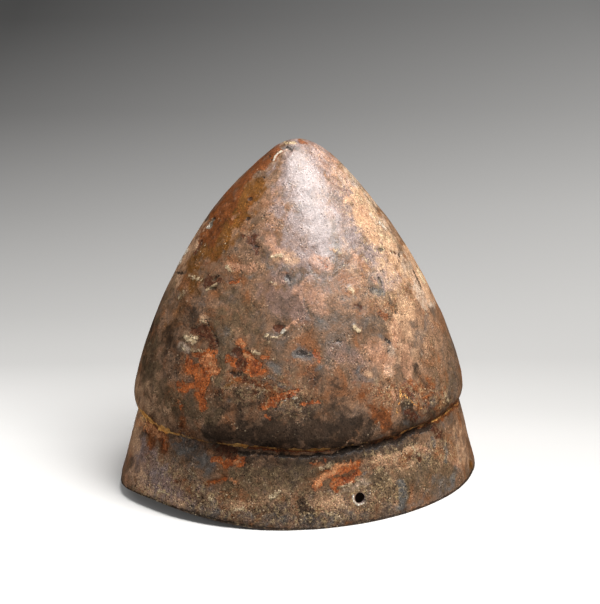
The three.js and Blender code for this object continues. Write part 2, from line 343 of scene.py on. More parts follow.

# %% [markdown]
# ## A chart of the patina
#
# Burial leaves many minerals on bronze: brown tenorite, orange-red cuprite, grey and olive films, ochre,
# and crusts of cream lime. Their places are what makes this helmet this one, so they are charted as brush
# strokes on the picture. A row is half the brush's width, its strength, and the points that it passes
# through, all in pixels. Washes are wide films. Crusts are small patches, pits, and the bright line of the
# lip, partly worn metal and partly painted warm reflections. Some strokes paint light and shade as well:
# painted shade under the lip, a painted sheen where the highlight falls, and a painted rim light along the
# right edge. A stroke only says where a stain or a painted light lies: its edge is broken up later,
# by noise.

# %% Chart of washes
WASHES = {  # finish: half the brush's width, strength, and the points of each stroke
    "lace": [
        (24, 0.5, (350, 190), (382, 246), (396, 296)),
        (18, 1, (150, 492), (230, 508), (320, 512), (386, 496)), (12, 0.8, (156, 464), (190, 484)),
        (14, 0.5, (244, 474), (290, 484)), (14, 0.9, (376, 464), (444, 452)),
        (16, 0.6, (236, 388), (300, 402)), (12, 0.8, (384, 392), (440, 398)),
    ],
    "bone_and_rim_light": [
        # The first two strokes run along the right edge: partly a pale crust, partly a painted rim light.
        (12, 0.9, (346, 172), (366, 206), (386, 242)), (8, 0.8, (386, 242), (408, 266), (428, 302)),
        (10, 0.7, (318, 152), (336, 172)), (5, 0.8, (391, 350), (388, 372)),
        (6, 0.8, (336, 496), (352, 486), (366, 480)),
    ],
    "rose_and_sheen": [
        # The widest stroke lies where the highlight falls: a painted pale lilac sheen over the brown.
        (40, 0.9, (306, 160), (308, 240)), (24, 0.8, (340, 190), (352, 240)),
        (12, 0.6, (290, 290), (318, 300)), (14, 1, (374, 254), (392, 282)),
        (18, 0.8, (142, 450), (160, 490), (180, 500)), (10, 0.5, (172, 500), (196, 510)),
    ],
    "mauve": [
        (18, 0.9, (272, 296), (296, 310)), (10, 0.8, (270, 274), (286, 278)),
        (6, 1, (408, 382), (412, 398)), (14, 0.7, (340, 348), (362, 372)),
        (20, 0.8, (136, 446), (148, 482), (186, 504)),
    ],
    "tan": [
        (8, 0.9, (204, 226), (188, 252), (174, 284)), (15, 0.8, (142, 396), (170, 418)),
        (30, 0.6, (384, 262), (402, 330), (398, 366)), (16, 0.8, (384, 250), (400, 278)),
        (14, 1, (358, 200), (372, 232), (386, 246)), (14, 0.6, (350, 250), (366, 280)),
        (14, 0.7, (392, 292), (404, 308)), (6, 0.9, (408, 250), (420, 272), (430, 298)),
        (13, 0.9, (404, 310), (402, 332)), (3.5, 1, (366, 373), (371, 376)),
        (12, 0.6, (408, 346), (404, 372)), (12, 0.7, (136, 470), (152, 494), (184, 508)),
        (10, 1, (136, 410), (131, 448)), (9, 0.8, (130, 372), (134, 392), (146, 408)),
        (12, 0.6, (140, 462), (150, 486)), (8, 0.7, (234, 506), (262, 502), (284, 492)),
        (10, 0.8, (322, 501), (340, 504)), (9, 0.9, (382, 458), (396, 452), (412, 444)),
        (8, 0.6, (458, 430), (466, 466)),
    ],
    "ochre": [
        (7, 0.9, (233, 212), (246, 206)), (18, 1, (238, 208), (216, 242)),
        (14, 1, (256, 186), (240, 206), (212, 250)), (9, 1, (250, 190), (238, 206)),
        (15, 0.6, (196, 270), (180, 310), (168, 336)), (11, 0.75, (202, 250), (193, 268), (196, 292)),
        (10, 0.5, (168, 326), (172, 344)), (14, 0.4, (330, 352), (350, 344)),
        (7, 0.4, (138, 414), (134, 438)),
    ],
    "rust": [
        (7, 0.9, (277, 151), (258, 166), (240, 185), (224, 205)), (12, 1, (230, 200), (208, 238)),
        (9, 0.6, (216, 254), (232, 262)), (8, 0.6, (252, 200), (244, 226)),
        (10, 0.5, (216, 236), (204, 262)), (14, 0.6, (290, 366), (314, 382)),
        (8, 0.5, (400, 280), (408, 288)), (9, 0.5, (398, 380), (412, 394)),
        (10, 0.5, (360, 392), (376, 404)), (9, 1, (378, 412), (384, 424)),
        (18, 0.7, (368, 394), (430, 392)), (12, 0.75, (234, 374), (262, 384), (290, 394)),
        (8, 0.8, (262, 403), (284, 398)), (10, 0.7, (420, 408), (440, 412)),
        (7, 0.9, (150, 430), (152, 444)), (6, 0.8, (152, 424), (160, 432)),
        (6, 0.9, (178, 404), (182, 424)), (6, 0.9, (312, 463), (330, 459)),
    ],
    "umber_and_shade": [
        (9, 0.45, (236, 206), (222, 226), (212, 246)), (9, 0.7, (243, 240), (262, 252)),
        (10, 0.6, (186, 300), (176, 336)), (9, 0.8, (192, 310), (188, 324)),
        (9, 0.8, (153, 322), (148, 372)), (14, 0.75, (172, 336), (170, 370)),
        (8, 0.6, (198, 288), (202, 306)), (9, 0.5, (176, 356), (178, 372)),
        (12, 0.5, (352, 328), (380, 324)), (14, 0.7, (312, 378), (338, 394)),
        # From here down, the strokes along the lower dome, under the lip and across the rim's top are
        # painted shade.
        (3.5, 0.8, (414, 364), (420, 376), (427, 390)), (20, 0.75, (226, 402), (270, 412), (340, 418)),
        (12, 0.9, (208, 430), (262, 436)), (18, 1, (246, 432), (330, 434), (362, 428)),
        (9, 0.8, (396, 430), (430, 414)), (9, 1, (408, 408), (412, 420)),
        (10, 0.6, (338, 392), (352, 402)), (10, 0.6, (330, 522), (390, 512), (440, 496)),
        (8, 1, (300, 460), (345, 457), (384, 448), (414, 438)), (8, 0.9, (240, 460), (300, 463)),
        (7, 0.8, (274, 508), (284, 524)), (8, 0.9, (299, 496), (304, 512), (316, 520)),
        (7, 0.8, (300, 470), (310, 474)), (15, 0.75, (246, 468), (296, 474)),
        (14, 0.6, (258, 396), (300, 404)), (9, 0.7, (372, 466), (384, 478)),
        (6, 0.9, (404, 480), (403, 510)), (7, 0.7, (352, 518), (372, 520)),
    ],
    "olive": [
        (5, 0.7, (176, 276), (158, 322)), (12, 0.8, (152, 344), (150, 376), (156, 392)),
        (16, 0.8, (158, 388), (180, 404), (214, 414)), (13, 0.85, (222, 314), (226, 344)),
        (12, 0.8, (236, 318), (252, 330)), (16, 0.7, (228, 296), (254, 312)),
        (16, 0.55, (210, 332), (250, 342), (300, 376)), (12, 0.6, (434, 336), (440, 384)),
        (8, 0.6, (446, 340), (452, 380)), (16, 0.6, (150, 388), (184, 402)),
        (12, 0.6, (156, 410), (192, 422)), (22, 0.75, (236, 484), (300, 480), (380, 486), (440, 472)),
        (9, 0.6, (252, 492), (268, 486)), (13, 0.5, (384, 464), (416, 458)),
        (14, 0.9, (376, 476), (392, 492)), (14, 0.5, (424, 466), (434, 500)),
    ],
    "slate": [
        (9, 0.5, (202, 304), (222, 296), (240, 288)), (6, 0.7, (268, 266), (286, 267)),
        (6, 0.6, (226, 278), (250, 277)), (7, 0.6, (222, 330), (228, 345)),
        (9, 0.65, (310, 314), (326, 328)), (6, 0.8, (289, 278), (296, 284)),
        (9, 0.5, (346, 300), (362, 306)), (7, 0.9, (298, 352), (309, 357)),
        (7, 0.8, (270, 362), (278, 368)), (5, 0.7, (359, 368), (361, 378), (374, 382)),
        (12, 0.7, (190, 510), (230, 520), (300, 524), (350, 520)), (13, 0.9, (186, 446), (206, 464)),
        (7, 0.7, (214, 490), (218, 512)), (5, 1, (401, 484), (402, 508)),
        (9, 0.6, (390, 512), (440, 494)), (8, 0.7, (438, 478), (450, 486)),
    ],
    "salmon": [
        (18, 0.6, (274, 196), (270, 232)), (14, 0.7, (326, 156), (342, 186)),
        (14, 0.9, (308, 288), (318, 306)), (11, 0.5, (420, 298), (430, 326)),
        (12, 0.9, (374, 350), (386, 364)), (6, 0.8, (396, 324), (397, 342)),
        (8, 0.8, (404, 350), (408, 372)),
    ],
    "cream": [
        (10, 0.3, (396, 262), (410, 284)), (12, 0.3, (372, 246), (390, 262)),
        (10, 0.3, (366, 276), (374, 300)),
    ],
}
print("washes: %d strokes" % sum(map(len, WASHES.values())))

# %% Chart of crusts
CRUSTS = {  # finish: half the brush's width, strength, and the points of each stroke
    "bone_and_rim_light": [
        (5, 0.8, (275, 160), (280, 153), (288, 149)), (4.5, 1, (181, 345), (187, 350)),
    ],
    "tan": [
        (7, 0.9, (276, 257), (296, 259)), (4, 1, (203, 318), (201, 325)),
        (2, 0.9, (398, 471), (408, 467), (420, 459)),
    ],
    "ochre": [
        (3, 0.9, (227, 386), (232, 384)), (2.5, 0.8, (285, 473), (289, 479)),
        (2.5, 0.8, (470, 460), (472, 468)),
    ],
    "rust": [
        (2.5, 0.8, (300, 140), (307, 143)), (8, 0.6, (186, 380), (206, 392)),
        (6, 0.6, (236, 384), (250, 380)), (4, 0.7, (214, 394), (222, 392)),
        (4, 0.8, (380, 313), (386, 317)), (3, 0.6, (424, 312), (426, 318)),
        (6, 0.9, (377, 416), (385, 422)), (3.5, 1, (372, 443), (404, 433), (437, 420), (458, 403)),
        (5, 1, (163, 434), (165, 451)), (5, 0.9, (210, 483), (224, 478)),
        (3, 0.7, (177, 481), (186, 480)), (2, 0.7, (190, 484), (193, 496)),
        (4, 0.6, (130, 444), (131, 456)), (9, 0.9, (322, 474), (352, 470)),
        (5, 1, (336, 480), (348, 477), (358, 471)), (2.5, 0.8, (371, 485), (381, 487)),
        (3, 0.7, (303, 524), (308, 525)), (4, 0.6, (264, 472), (272, 474)),
    ],
    "olive": [
        (6, 0.9, (222, 352), (222, 368), (218, 382)), (4, 0.9, (244, 374), (247, 379)),
        (5, 0.8, (232, 471), (240, 472)),
    ],
    "slate": [
        (4, 0.9, (286, 147), (297, 149)), (4, 0.8, (290, 284), (297, 285)),
        (4, 0.8, (281, 265), (286, 270)), (2.5, 0.9, (316, 370), (321, 366)),
        (6, 0.8, (274, 364), (277, 371)), (3, 0.9, (279, 384), (285, 388)),
        (3, 0.8, (268, 377), (274, 379)), (3, 0.8, (226, 398), (232, 400)),
        (4, 1, (372, 289), (382, 292)), (4, 0.8, (379, 334), (386, 339), (391, 342)),
        (7, 0.7, (408, 410), (413, 417), (407, 422)), (3, 0.8, (365, 474), (367, 471)),
        (3, 0.7, (325, 491), (331, 491)), (3, 0.8, (433, 438), (434, 446)),
        (2.2, 0.9, (446, 444), (445, 462)), (2.2, 0.9, (456, 465), (455, 474)),
        (3, 0.9, (453, 479), (450, 489)),
    ],
    "salmon": [
        (6, 0.6, (314, 146), (330, 158)), (5, 0.5, (334, 164), (346, 182)),
        (3, 0.7, (234, 218), (238, 215)), (2, 0.8, (256, 240), (259, 238)),
        (2.5, 0.9, (261, 234), (272, 235)), (9, 1, (272, 238), (278, 250)),
        (8, 0.9, (316, 258), (328, 266)), (5, 0.9, (228, 266), (238, 269), (254, 267)),
        (2.5, 0.8, (341, 302), (345, 303)), (3, 0.7, (324, 311), (328, 313)),
        (2.2, 1, (286, 329), (291, 325), (297, 321)), (4, 0.7, (322, 362), (328, 370)),
        (3, 0.7, (279, 349), (286, 350)), (6, 0.8, (362, 210), (367, 226)),
        (5, 0.8, (352, 252), (360, 262)), (3, 1, (372, 279), (376, 284)), (2, 1, (392, 389), (395, 400)),
        (2, 0.9, (227, 476), (230, 477)), (2, 0.8, (126, 474), (126, 486)),
        (3, 0.7, (370, 491), (374, 498)), (4, 0.9, (418, 447), (427, 451)),
        (4, 0.8, (449, 457), (458, 465)),
    ],
    "cuprite_and_glow": [
        (2.5, 0.5, (320, 258), (326, 266)), (1.8, 0.8, (229, 282), (236, 283), (240, 279)),
        (3.5, 0.7, (317, 353), (320, 361)), (3, 0.9, (211, 351), (216, 352)),
        (5, 0.9, (196, 353), (206, 352)), (7, 1, (207, 360), (212, 369)),
        (9, 0.9, (191, 366), (202, 374)), (7, 0.8, (182, 386), (196, 384)),
        (5, 0.9, (206, 382), (200, 394)), (4, 0.9, (200, 396), (203, 409)),
        (4, 0.5, (180, 402), (184, 412)), (4, 0.9, (237, 342), (243, 346)),
        (4, 0.95, (228, 360), (235, 364), (244, 368)), (5.5, 1, (245, 355), (250, 361), (257, 367)),
        (4, 0.9, (244, 369), (255, 374), (262, 371)), (3.5, 0.8, (254, 374), (262, 371)),
        (3, 0.8, (262, 357), (268, 357)), (3.5, 0.9, (285, 395), (296, 391)),
        (4, 0.7, (264, 404), (276, 404), (288, 397)), (4, 0.7, (303, 404), (318, 402)),
        (3, 0.6, (266, 416), (270, 418)), (4, 0.75, (265, 405), (272, 401), (280, 398)),
        (3.5, 0.75, (283, 396), (296, 392)), (3.5, 0.75, (227, 357), (236, 361)),
        # The long thin stroke under the lip is a painted orange reflection.
        (4, 0.8, (250, 367), (262, 372)), (2.2, 0.7, (250, 448), (300, 451), (330, 451)),
        (2.5, 0.7, (163, 436), (166, 450)), (5, 1, (229, 460), (241, 461)),
        (4, 1, (213, 460), (220, 460), (226, 465)), (3, 0.7, (212, 482), (226, 478)),
        (5, 0.6, (317, 484), (326, 474)), (6, 0.7, (328, 473), (344, 470)),
        (5, 0.85, (344, 470), (357, 465)), (5, 0.9, (336, 481), (350, 479)),
        (3.5, 0.8, (352, 476), (360, 472)), (3, 0.8, (357, 468), (361, 473)),
        (3, 0.8, (314, 488), (321, 484)), (2.5, 0.9, (331, 486), (337, 492)),
        (4, 0.6, (310, 464), (325, 460)),
    ],
    "oxblood": [
        (1.6, 0.9, (201, 241), (195, 253)), (7, 0.7, (252, 238), (258, 252)),
        (6, 0.8, (208, 284), (216, 279)), (2.5, 0.8, (356, 306), (362, 309)),
        (4.5, 0.9, (275, 328), (281, 330)), (5.5, 1, (202, 329), (207, 338), (212, 347)),
        (4, 1, (193, 331), (203, 336)), (3.5, 1, (210, 333), (215, 346)),
        (5, 0.9, (236, 352), (241, 358), (240, 366)), (5, 0.5, (258, 362), (264, 366)),
        (3, 0.7, (254, 395), (259, 392)), (5, 0.7, (244, 380), (258, 386)),
        (1, 0.8, (390, 250), (395, 253)), (4, 0.7, (408, 392), (413, 397)),
        (6, 0.7, (408, 412), (413, 418)), (3, 0.5, (147, 432), (150, 438)),
        (7, 0.9, (220, 449), (233, 452)), (4, 0.9, (434, 428), (438, 436)),
        (3, 0.8, (411, 458), (420, 460)), (3, 0.6, (411, 490), (415, 496)),
    ],
    "copper_and_glow": [
        (4, 0.5, (330, 247), (338, 252)), (6, 0.8, (204, 359), (212, 368)),
        (3, 0.8, (236, 340), (244, 345)), (2.5, 0.8, (245, 354), (251, 359)),
        # The wide stroke at the left end of the lip is a painted warm reflection, where the rim lies in the
        # lip's shade.
        (1.6, 0.8, (287, 393), (296, 390)), (7, 0.68, (136, 420), (150, 428), (163, 434)),
        (2, 0.8, (234, 463), (239, 461)), (1.5, 0.8, (213, 460), (218, 460)),
        (2.5, 0.9, (233, 480), (236, 482)), (5, 0.8, (318, 482), (326, 474), (338, 467)),
        (2.5, 0.7, (344, 465), (355, 463)),
    ],
    "cream": [
        (1.6, 1, (285, 143), (295, 143)), (3, 0.5, (338, 162), (352, 176), (364, 192)),
        (2.5, 0.7, (190, 276), (200, 280)), (3, 0.6, (186, 290), (180, 298)),
        (2.5, 0.8, (272, 257), (281, 256)), (3, 0.6, (336, 249), (340, 253)),
        (2, 0.8, (227, 267), (231, 271)), (1.5, 0.8, (206, 290), (217, 284)),
        (1.5, 0.9, (272, 283), (276, 284)), (1.2, 1, (309, 284)), (2.5, 1, (350, 289), (353, 292)),
        (1.4, 0.8, (267, 334), (272, 337), (277, 338), (281, 335)), (2.5, 0.55, (266, 335), (269, 341)),
        (2, 1, (354, 327), (359, 331)), (1.8, 0.6, (200, 319), (206, 323)),
        (4.5, 0.8, (188, 338), (195, 341)), (2, 0.6, (181, 346), (186, 350)),
        (2.5, 0.7, (192, 351), (204, 350)), (1.3, 0.9, (212, 377), (213, 383)),
        (2.5, 0.7, (252, 351), (260, 353)), (6, 0.5, (250, 384), (262, 392)),
        (4, 0.55, (357, 194), (363, 204)), (4, 0.5, (368, 200), (374, 218), (382, 232)),
        (4, 0.55, (382, 236), (396, 242)), (2.5, 0.6, (364, 258), (368, 262)),
        (1, 0.9, (375, 251), (379, 253), (384, 250), (380, 246)), (1.8, 0.8, (417, 268), (424, 282)),
        (2, 0.6, (444, 392), (448, 402)), (2, 0.8, (160, 490), (167, 494)),
        (3, 0.6, (140, 492), (144, 500)), (2, 0.8, (210, 497), (212, 501)),
        (3, 0.6, (230, 512), (246, 508)), (3, 0.5, (190, 470), (194, 474)),
        (4, 0.6, (320, 470), (332, 465)), (3, 0.5, (303, 479), (312, 472)),
        (4, 0.5, (340, 487), (352, 483), (361, 481)), (3, 0.7, (270, 498), (280, 492)),
        (3, 0.6, (328, 514), (340, 518)), (2, 0.8, (413, 448), (418, 455)),
    ],
    "chalk": [
        (0.9, 0.8, (273, 161), (276, 155), (282, 151)), (1.5, 1, (213, 220), (208, 227)),
        (1.4, 1, (188, 250), (185, 254)), (1.4, 0.9, (182, 258), (177, 266)),
        (1.6, 1, (282, 333), (285, 330)), (0.9, 0.8, (284, 401), (298, 397)),
        (2, 0.6, (379, 222), (386, 231)), (1.4, 1, (353, 497), (354, 502), (358, 505), (363, 503)),
    ],
    "gold_and_glint": [
        # The strokes along the lip are partly worn metal and partly a painted warm reflection.
        (1.8, 0.6, (400, 382), (401, 398), (397, 412)), (1.8, 0.6, (404, 396), (412, 403), (421, 408)),
        (5, 0.5, (140, 412), (148, 424)), (0.9, 1, (136, 405), (143, 413)),
        (1.5, 1, (143, 413), (151, 421)), (1, 0.8, (151, 421), (160, 427)),
        (2.6, 1, (160, 428), (169, 431)), (1.1, 0.8, (169, 432), (180, 435)),
        (1.1, 0.6, (180, 435), (204, 441), (229, 445)), (1.8, 1, (229, 445), (246, 446)),
        (1.2, 0.6, (246, 446), (282, 449), (310, 450)), (1.8, 0.9, (310, 450), (329, 449)),
        (1.3, 0.5, (329, 449), (350, 446), (383, 440)),
        (1.4, 0.6, (383, 440), (404, 432), (437, 420), (459, 402)),
    ],
    "pits_and_shade": [
        (1.4, 0.9, (287, 147), (292, 150)), (1.4, 1, (269, 156), (271, 159)),
        (1, 0.8, (275, 166), (280, 164)), (1, 0.8, (263, 178), (265, 177)), (2, 1, (250, 199)),
        (2, 1, (249, 218)), (1.6, 1, (214, 218), (210, 225)), (1.6, 1, (174, 272), (182, 273)),
        (1.2, 0.8, (251, 236), (253, 239)), (1.4, 0.8, (255, 246), (259, 246)),
        (1.2, 0.7, (247, 255), (251, 257)), (1.5, 0.9, (218, 275), (214, 280)),
        (1.5, 0.9, (210, 288), (216, 289)), (1.6, 0.8, (287, 276), (290, 280)),
        (2, 0.9, (337, 341), (341, 341)), (4, 0.7, (300, 352), (308, 356)),
        (1.2, 0.8, (206, 320), (214, 334), (218, 347)), (1.2, 0.7, (198, 326), (190, 331)),
        (3, 0.9, (231, 372), (235, 375), (239, 374)), (1, 0.9, (275, 410), (281, 401), (290, 398)),
        (2.2, 1, (378, 249), (381, 250)), (1, 0.9, (389, 261), (391, 263)),
        (1.1, 0.8, (399, 254), (400, 257)), (1.2, 0.8, (380, 269), (384, 272)),
        (1.2, 0.9, (379, 277), (382, 283)), (1.3, 0.7, (371, 288), (374, 290)),
        (1, 0.8, (414, 271), (417, 277), (422, 288)), (1.5, 0.8, (394, 310), (397, 313)),
        (2.6, 0.9, (386, 339), (391, 341)), (2.2, 0.9, (389, 351)), (2, 0.7, (370, 361), (373, 363)),
        # The last two strokes are a painted shadow in the groove under the lip.
        (2.5, 0.8, (238, 453), (290, 456), (320, 456), (352, 452)),
        (4, 0.8, (340, 453), (384, 444), (404, 437), (430, 427)),
    ],
}
print("crusts: %d strokes" % sum(map(len, CRUSTS.values())))

# %% [markdown]
# ## From the chart to the metal
#
# Each vertex that faces the camera is looked up in the picture, and every stroke leaves its share there:
# 1 on its line, a half at the brush's edge, 0 half a brush further out. A slow noise and a quick one push
# the strokes off their lines and swell them, so none looks ruled. A crust also stains the metal around
# it, as a halo of another finish. The shares are kept as attributes of the mesh, one for each finish, so
# they belong to the metal and stay put from any side. The far side isn't in the picture. It gets strokes
# of the same kinds and sizes, strewn in clusters by a seeded random generator. They are placed by azimuth
# and height, and not picked from the vertices, whose order can change from run to run.

# %% Masks
FINISH_NAMES = ["lace", "bone_and_rim_light", "rose_and_sheen", "mauve", "tan", "ochre", "rust", "umber_and_shade", "olive", "slate",
                "salmon", "cuprite_and_glow", "oxblood", "copper_and_glow", "cream", "chalk", "gold_and_glint", "pits_and_shade"]
STREWN = [  # finish, clusters, strokes in each, smallest and largest brush half-width in mm
    ("lace", 4, 3, 8, 18), ("bone_and_rim_light", 2, 2, 6, 12), ("rose_and_sheen", 3, 3, 12, 28), ("mauve", 4, 3, 8, 20),
    ("tan", 4, 4, 6, 14), ("ochre", 4, 4, 5, 14), ("rust", 5, 4, 4, 9), ("umber_and_shade", 5, 4, 8, 18),
    ("olive", 3, 4, 5, 12), ("slate", 5, 3, 3, 8), ("salmon", 6, 4, 2, 7), ("cuprite_and_glow", 5, 6, 1.5, 5),
    ("oxblood", 5, 4, 1.5, 5), ("copper_and_glow", 4, 3, 1.5, 3), ("cream", 7, 5, 0.8, 2.6),
    ("chalk", 3, 3, 0.8, 1.8), ("pits_and_shade", 9, 5, 0.7, 1.6),
]
PATINA_SEED, STREW_SPREAD = 11, 12 * MM
STREW_LENGTH, STREW_STRENGTH = 4, (0.7, 1.0)  # greatest length in half-widths, least and greatest strength
CRUST_FADE, WASH_FADE = 0.15, 0.35  # facing over which the chart fades, before the outline and past it
WANDER_SIZE, SHIVER_SIZE = 9 * MM, 2.2 * MM
WANDER_PIXELS, SHIVER_PIXELS = 3.5, 1.2
WANDER_BRUSH, SHIVER_BRUSH = 8, 2  # half-widths in pixels from which a stroke wanders and shivers fully
WANDER_MM, SHIVER_MM = 2.2, 0.8
SWELLS = [(0.6, 6 * MM), (0.5, 2.5 * MM)]  # share of the brush's width, size of the noise
LEAST_SWELL = 0.4
FOOT_SHADE, FOOT_REACH = 1.8 * MM, 1.3  # painted contact shadow along the rim's edge
HALOS = {"cuprite_and_glow": "rust", "oxblood": "umber_and_shade", "cream": "tan"}  # stain around each crust
HALO_SPREAD, HALO_STRENGTH = 2.0, 0.75
CRUST_GRAIN = {"lace": 1.0, "cream": 1.0, "chalk": 1.0, "cuprite_and_glow": 0.4, "oxblood": 0.25}  # pale grains


def brush_share(places, points, half_width):
    """Share of a stroke at each place: 1 on its line, 0.5 at its half-width, 0 at 1.5 half-widths."""
    nearest = np.full(len(places), np.inf)
    points = np.array(points, float)
    ends = points[1:] if len(points) > 1 else points
    for start, end in zip(points, ends):
        along = end - start
        length = max(along @ along, 1e-12)
        share = np.clip((places - start) @ along / length, 0, 1)
        nearest = np.minimum(nearest, np.linalg.norm(places - start - share[:, None] * along, axis=1))
    return np.clip(1.5 - nearest / half_width, 0, 1)


def paint(finish, places, points, half_width, strength):
    """Lays a stroke on the mask of its finish, and a wider, weaker one on the mask of its halo."""
    share = strength * brush_share(places, points, half_width)
    masks[finish] = np.maximum(masks[finish], share)
    if finish in HALOS:
        share = HALO_STRENGTH * strength * brush_share(places, points, HALO_SPREAD * half_width)
        masks[HALOS[finish]] = np.maximum(masks[HALOS[finish]], share)


def outer_places(azimuth, height):
    """Places on the helmet's outer face, from azimuths and heights on the round sheet."""
    radius = np.interp(height, profile[:, 1], profile[:, 0])
    return hand_raised(np.stack([radius * np.sin(azimuth), -radius * np.cos(azimuth), height], axis=1))


places = vertex_places(shell)
normals = np.empty(places.size)
shell.data.vertices.foreach_get("normal", normals)
normals = normals.reshape(-1, 3)
outside = np.empty(len(places))
shell.data.attributes["outside"].data.foreach_get("value", outside)
to_camera = np.array(CAMERA_PLACE) - places
facing = np.sum(normals * to_camera, axis=1) / np.linalg.norm(to_camera, axis=1)
crusts_charted = np.clip(facing / CRUST_FADE, 0, 1) * (outside > 0.5)
washes_charted = np.clip(1 + facing / WASH_FADE, 0, 1) * (outside > 0.5)
noise.seed_set(PATINA_SEED)  # left alone, the vector noise takes its seed from the clock
wander, shiver, swell = [], [], []
for p in map(Vector, places):
    wander.append(noise.noise_vector(p / WANDER_SIZE))
    shiver.append(noise.noise_vector(p / SHIVER_SIZE))
    swell.append(sum((share * noise.noise(p / size) for share, size in SWELLS), 1.0))
wander, shiver, swell = np.array(wander), np.array(shiver), np.maximum(LEAST_SWELL, swell)
pixels = picture_pixels(places)

masks = {name: np.zeros(len(places)) for name in FINISH_NAMES}
for chart, charted in ((WASHES, washes_charted), (CRUSTS, crusts_charted)):
    for finish, strokes in chart.items():
        for half_width, strength, *points in strokes:
            wandered = pixels + WANDER_PIXELS * wander[:, :2] * min(1, half_width / WANDER_BRUSH)
            wandered += SHIVER_PIXELS * shiver[:, :2] * min(1, half_width / SHIVER_BRUSH)
            paint(finish, wandered, points, half_width * swell, strength * charted)
# A painted contact shadow darkens the outer face just above the rim's edge.
above_edge = places[:, 2] - rim_edge_height(places)
foot_shadow = np.clip(FOOT_REACH - above_edge / FOOT_SHADE, 0, 1) * (outside > 0.5)
masks["pits_and_shade"] = np.maximum(masks["pits_and_shade"], foot_shadow)

random = np.random.default_rng(PATINA_SEED)
wandered = places + MM * (WANDER_MM * wander + SHIVER_MM * shiver)
for finish, clusters, strokes, smallest, largest in STREWN:
    for _ in range(clusters):
        centre_azimuth, centre_height = random.uniform(0, 2 * math.pi), random.triangular(0, 0, HEIGHT)
        centre_radius = np.interp(centre_height, profile[:, 1], profile[:, 0])
        for _ in range(strokes):
            half_width = MM * random.uniform(smallest, largest)
            start, end = random.normal(0, STREW_SPREAD, (2, 2))
            length = max(np.linalg.norm(end - start), MM)
            end = start + (end - start) * min(1, STREW_LENGTH * half_width / length)
            sideways, upwards = np.transpose([start, end])
            heights = np.clip(centre_height + upwards, 0, HEIGHT)
            line = outer_places(centre_azimuth + sideways / centre_radius, heights)
            strength = random.uniform(*STREW_STRENGTH) * (1 - washes_charted)
            paint(finish, wandered, line, half_width * swell, strength)
masks["crusted"] = np.max([grain * masks[finish] for finish, grain in CRUST_GRAIN.items()], axis=0)
for finish, share in masks.items():
    attribute = shell.data.attributes.new(finish, "FLOAT", "POINT")
    attribute.data.foreach_set("value", share.astype(np.float32))
print("masks: %d finishes on %d vertices" % (len(masks), len(places)))

# %% [markdown]
# ## Relief of the crusts
#
# Corrosion isn't only paint. Lime and chalk grow out of the surface, red cuprite shows where a skin of
# patina has flaked away, and the black spots are pits. The painted shadow in the groove and along the
# rim's foot, and the painted reflection under the lip, share these masks, so they sink a little as well.
# Each vertex is pushed along its normal by its own shares of these. The relief fades out over the last
# few millimetres above the floor, so that the helmet stands true.

# %% Relief
RELIEF_MM = {
    "cream": 0.35, "chalk": 0.45, "salmon": 0.12, "cuprite_and_glow": -0.25, "oxblood": -0.4, "pits_and_shade": -0.7,
}
RELIEF_FADE = 3 * MM

rise_along_normal = sum(depth * MM * masks[finish] for finish, depth in RELIEF_MM.items())
rise_along_normal *= np.clip(places[:, 2] / RELIEF_FADE, 0, 1) * (outside > 0.5)
move_vertices(shell, places + normals * rise_along_normal[:, None])
print("relief: %.2f to %.2f mm" % (rise_along_normal.min() / MM, rise_along_normal.max() / MM))

# %% [markdown]
# ## The patina as a material
#
# Dug-up bronze shows hardly any metal: light meets a skin of copper oxides and earth, dense and a little
# glossy. So the material isn't metallic. Its colour starts as a mottled brown, and each finish of the
# chart is laid over it in turn. A finish covers where its share and a noise add up to enough, so its edge
# is ragged like a flake's. Dark and pale flecks, veins, a lace of earth on the crusts, and pits lie over
# all.

